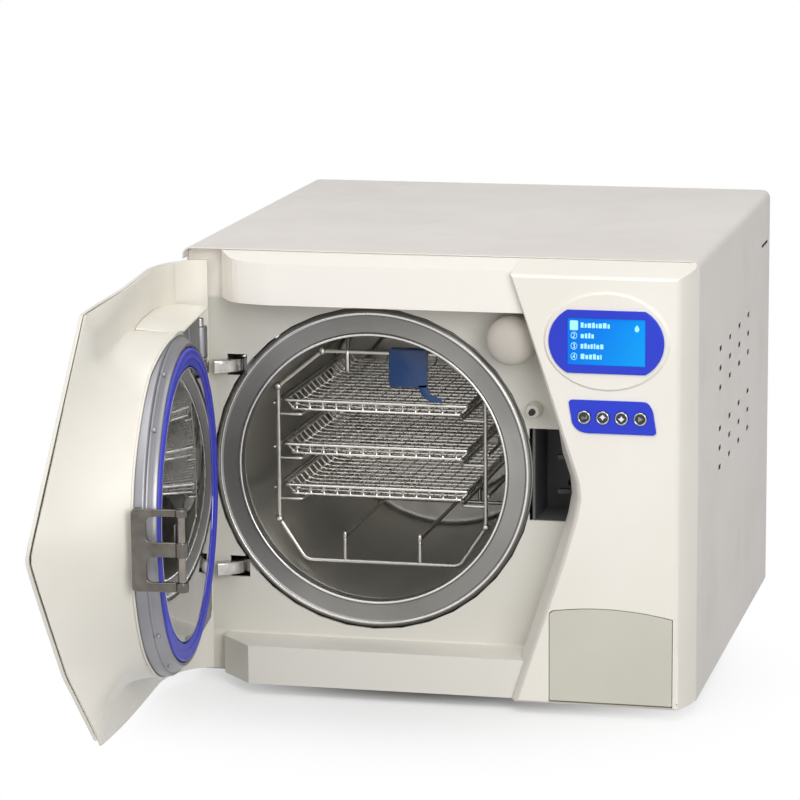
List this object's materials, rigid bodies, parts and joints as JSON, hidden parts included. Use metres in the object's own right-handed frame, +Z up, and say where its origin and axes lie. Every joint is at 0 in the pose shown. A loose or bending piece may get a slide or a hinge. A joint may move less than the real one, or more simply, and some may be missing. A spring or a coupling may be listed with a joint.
{
  "type": "dental autoclave",
  "caption": "Bench-top steam steriliser for dental instruments: round chamber with wire rack and trays, side-hinged door standing open, control column with display, keypad and drain flap.",
  "frame": {"origin": "middle of the ground rectangle that the autoclave covers with its door standing open", "axes": "+Z up, +Y towards the back of the cabinet, +X to the right as seen from the front"},
  "size_m": [0.5124, 0.8648, 0.413],
  "materials": {
    "white_paint": "fine satin powder coat",
    "ivory_moulding": "satin moulded plastic",
    "grey_moulding": "fine matte moulded plastic",
    "blue_print": "gloss membrane",
    "blue_screen": "backlit display window",
    "brushed_steel": "turned and brushed",
    "polished_steel": "polished",
    "wire_steel": "electropolished wire",
    "cast_aluminium": "turned casting",
    "blue_rubber": "silicone",
    "black_plastic": "moulded",
    "blue_plastic": "moulded",
    "insulation": "quilted blanket",
    "zinc_sheet": "zinc-plated sheet",
    "tank_plastic": "natural moulded plastic",
    "green_board": "circuit board",
    "brass": "turned"
  },
  "bodies": {
    "cabinet": {"wrap_cover": "white_paint", "base_tray": "zinc_sheet", "rear_panel": "white_paint", "front_frame": "grey_moulding", "control_fascia": "ivory_moulding", "flap_hinge_pin": "brushed_steel", "service_compartment": "black_plastic", "drain_valve_clean": "blue_plastic", "drain_valve_used": "black_plastic", "display_bezel": "blue_print", "display_screen": "blue_screen", "keypad": "blue_print", "control_board": "green_board", "bacterial_filter": "ivory_moulding", "door_switch_boss": "ivory_moulding", "latch_housing": "black_plastic", "lock_motor": "brushed_steel", "chamber_vessel": "brushed_steel", "chamber_flange": "brushed_steel", "insulation_jacket": "insulation", "saddle_front": "zinc_sheet", "saddle_rear": "zinc_sheet", "hinge_arm_upper": "polished_steel", "hinge_arm_lower": "polished_steel", "hinge_pin_upper": "polished_steel", "hinge_pin_lower": "polished_steel", "steam_generator": "brushed_steel", "vacuum_pump": "cast_aluminium", "water_tank": "tank_plastic", "tank_bracket": "zinc_sheet", "condenser": "cast_aluminium", "fan_frame": "black_plastic", "power_inlet": "black_plastic", "exhaust_outlet": "brass", "foot_left_front": "black_plastic", "foot_left_rear": "black_plastic", "foot_right_front": "black_plastic", "foot_right_rear": "black_plastic"},
    "door": {"door_shell": "ivory_moulding", "door_liner": "ivory_moulding", "door_carrier": "cast_aluminium", "sealing_disc": "polished_steel", "door_gasket": "blue_rubber", "striker_bracket": "brushed_steel", "striker_pin": "polished_steel"},
    "flap": {"service_flap": "grey_moulding"},
    "rack": {"tray_rack": "wire_steel", "tray_lifter": "blue_plastic"},
    "tray_top": {"tray_top": "wire_steel"},
    "tray_middle": {"tray_middle": "wire_steel"},
    "tray_bottom": {"tray_bottom": "wire_steel"},
    "latch": {"latch_shaft": "brushed_steel", "latch_hook_upper": "brushed_steel", "latch_hook_lower": "brushed_steel"},
    "plunger": {"door_switch_plunger": "brushed_steel"},
    "fan": {"fan_rotor": "black_plastic"},
    "button_1": {"button_1": "blue_print"},
    "button_2": {"button_2": "blue_print"},
    "button_3": {"button_3": "blue_print"},
    "button_4": {"button_4": "blue_print"}
  },
  "joints": [
    {"name": "door_hinge", "type": "hinge", "parent": "cabinet", "child": "door", "pos_m": [-0.20763, -0.06649, 0.2073], "axis": [0, 0, -1], "range_deg": [-84.3, 7.5]},
    {"name": "flap_hinge", "type": "hinge", "parent": "cabinet", "child": "flap", "pos_m": [0.18447, -0.10519, 0.0154], "axis": [1, 0, 0], "range_deg": [0, 95]},
    {"name": "rack_slide", "type": "slide", "parent": "cabinet", "child": "rack", "axis": [0, -1, 0], "range_m": [0, 0.15]},
    {"name": "tray_top_slide", "type": "slide", "parent": "rack", "child": "tray_top", "axis": [0, -1, 0], "range_m": [0, 0.18]},
    {"name": "tray_middle_slide", "type": "slide", "parent": "rack", "child": "tray_middle", "axis": [0, -1, 0], "range_m": [0, 0.18]},
    {"name": "tray_bottom_slide", "type": "slide", "parent": "rack", "child": "tray_bottom", "axis": [0, -1, 0], "range_m": [0, 0.18]},
    {"name": "latch_turn", "type": "hinge", "parent": "cabinet", "child": "latch", "pos_m": [0.13367, -0.00559, 0.208], "axis": [0, 0, -1], "range_deg": [0, 30]},
    {"name": "plunger_press", "type": "slide", "parent": "cabinet", "child": "plunger", "axis": [0, 1, 0], "range_m": [0, 0.004], "stiffness_N_per_m": 200},
    {"name": "button_1_press", "type": "slide", "parent": "cabinet", "child": "button_1", "axis": [0, 1, 0], "range_m": [0, 0.001], "stiffness_N_per_m": 400},
    {"name": "button_2_press", "type": "slide", "parent": "cabinet", "child": "button_2", "axis": [0, 1, 0], "range_m": [0, 0.001], "stiffness_N_per_m": 400},
    {"name": "button_3_press", "type": "slide", "parent": "cabinet", "child": "button_3", "axis": [0, 1, 0], "range_m": [0, 0.001], "stiffness_N_per_m": 400},
    {"name": "button_4_press", "type": "slide", "parent": "cabinet", "child": "button_4", "axis": [0, 1, 0], "range_m": [0, 0.001], "stiffness_N_per_m": 400},
    {"name": "fan_spin", "type": "hinge", "parent": "cabinet", "child": "fan", "pos_m": [-0.12383, 0.39941, 0.1], "axis": [0, 1, 0], "continuous": true}
  ]
}
